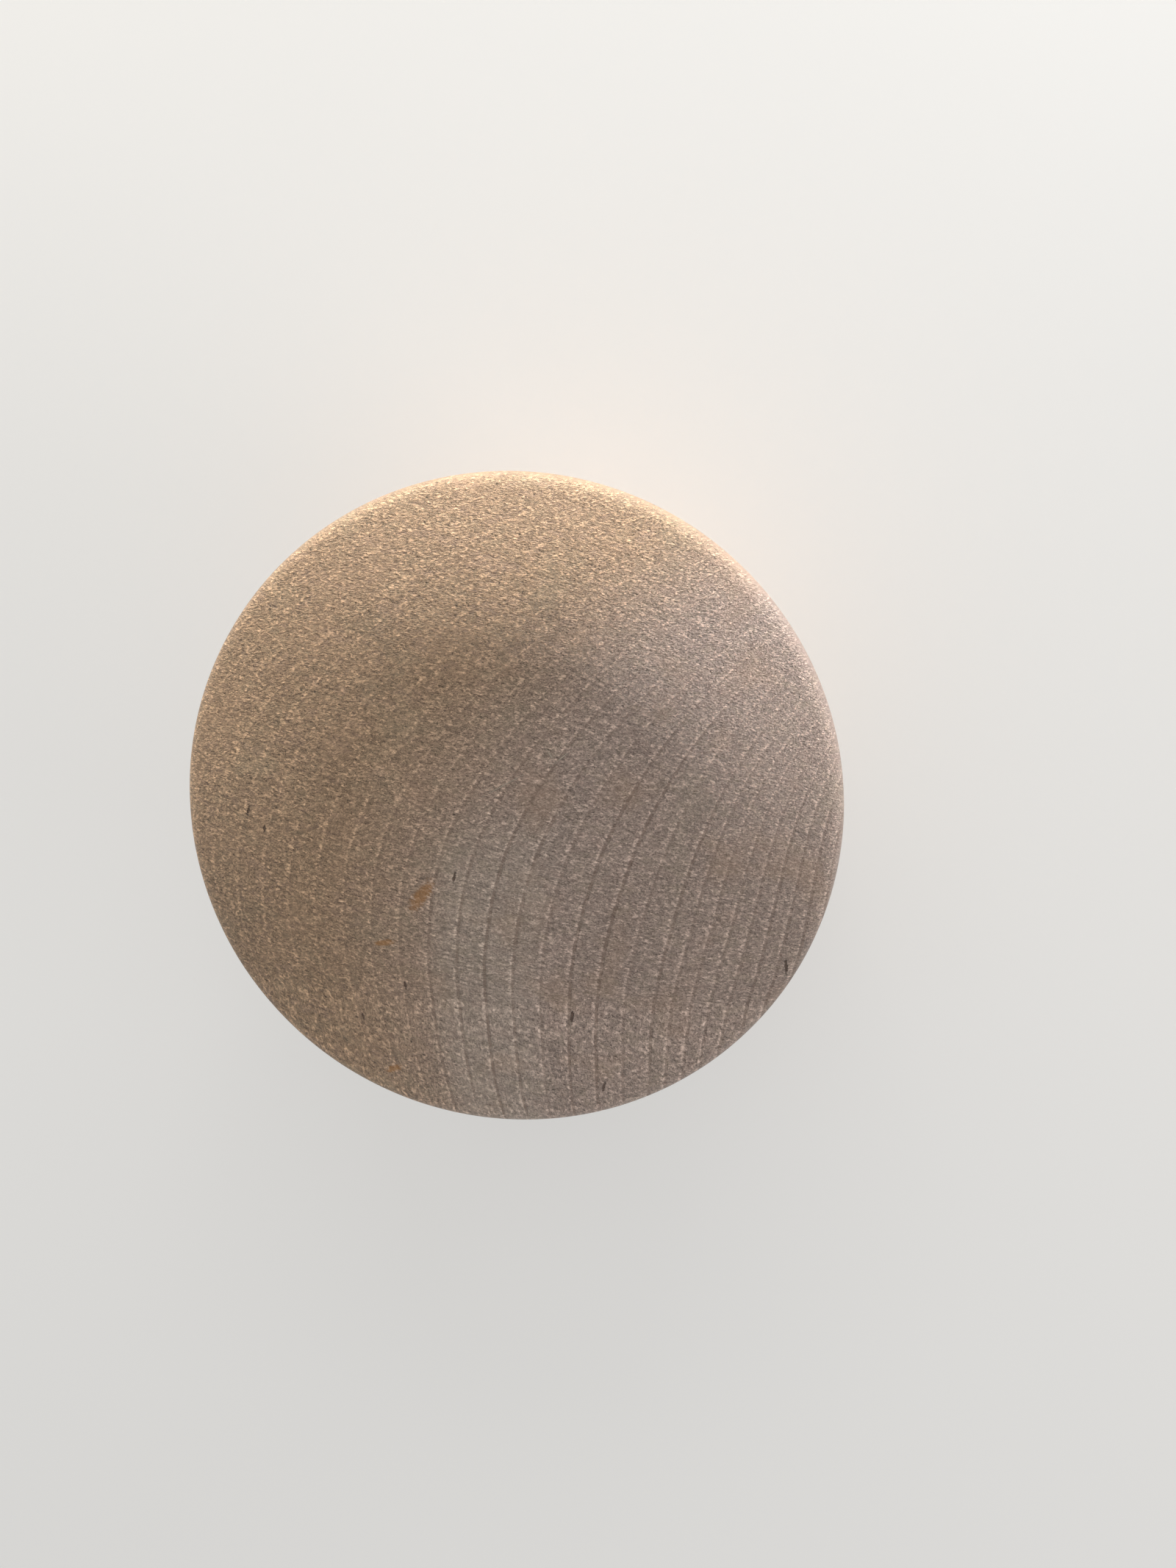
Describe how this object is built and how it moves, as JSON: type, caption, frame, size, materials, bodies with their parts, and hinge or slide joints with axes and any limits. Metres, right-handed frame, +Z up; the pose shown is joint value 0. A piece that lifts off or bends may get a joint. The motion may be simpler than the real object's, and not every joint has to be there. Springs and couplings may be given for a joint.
{
  "type": "shaving soap bowl with lid",
  "caption": "Round turned-wood shaving bowl with a loose domed lid, holding a hard puck of shaving soap, with free height above the soap for lather.",
  "frame": {"origin": "centre of the bowl's foot, on the plane of its resting face", "axes": "+Z up along the turning axis, through the middle of the lid's dome; +X to the right seen from the front, with the growth rings of the wood bulging towards +X; +Y from front to back"},
  "size_m": [0.1, 0.1, 0.0581],
  "materials": {
    "bowl_wood": "matte",
    "lid_wood": "matte",
    "soap": "satin",
    "label_paper": "matte"
  },
  "bodies": {
    "bowl": {"bowl": "bowl_wood", "base_label": "label_paper"},
    "soap_puck": {"soap_puck": "soap"},
    "lid": {"lid": "lid_wood"}
  },
  "joints": [
    {"name": "puck_lift", "type": "slide", "parent": "bowl", "child": "soap_puck", "axis": [0, 0, 1], "range_m": [0, 0.045]},
    {"name": "lid_lift", "type": "slide", "parent": "soap_puck", "child": "lid", "axis": [0, 0, 1], "range_m": [0, 0.08]}
  ]
}
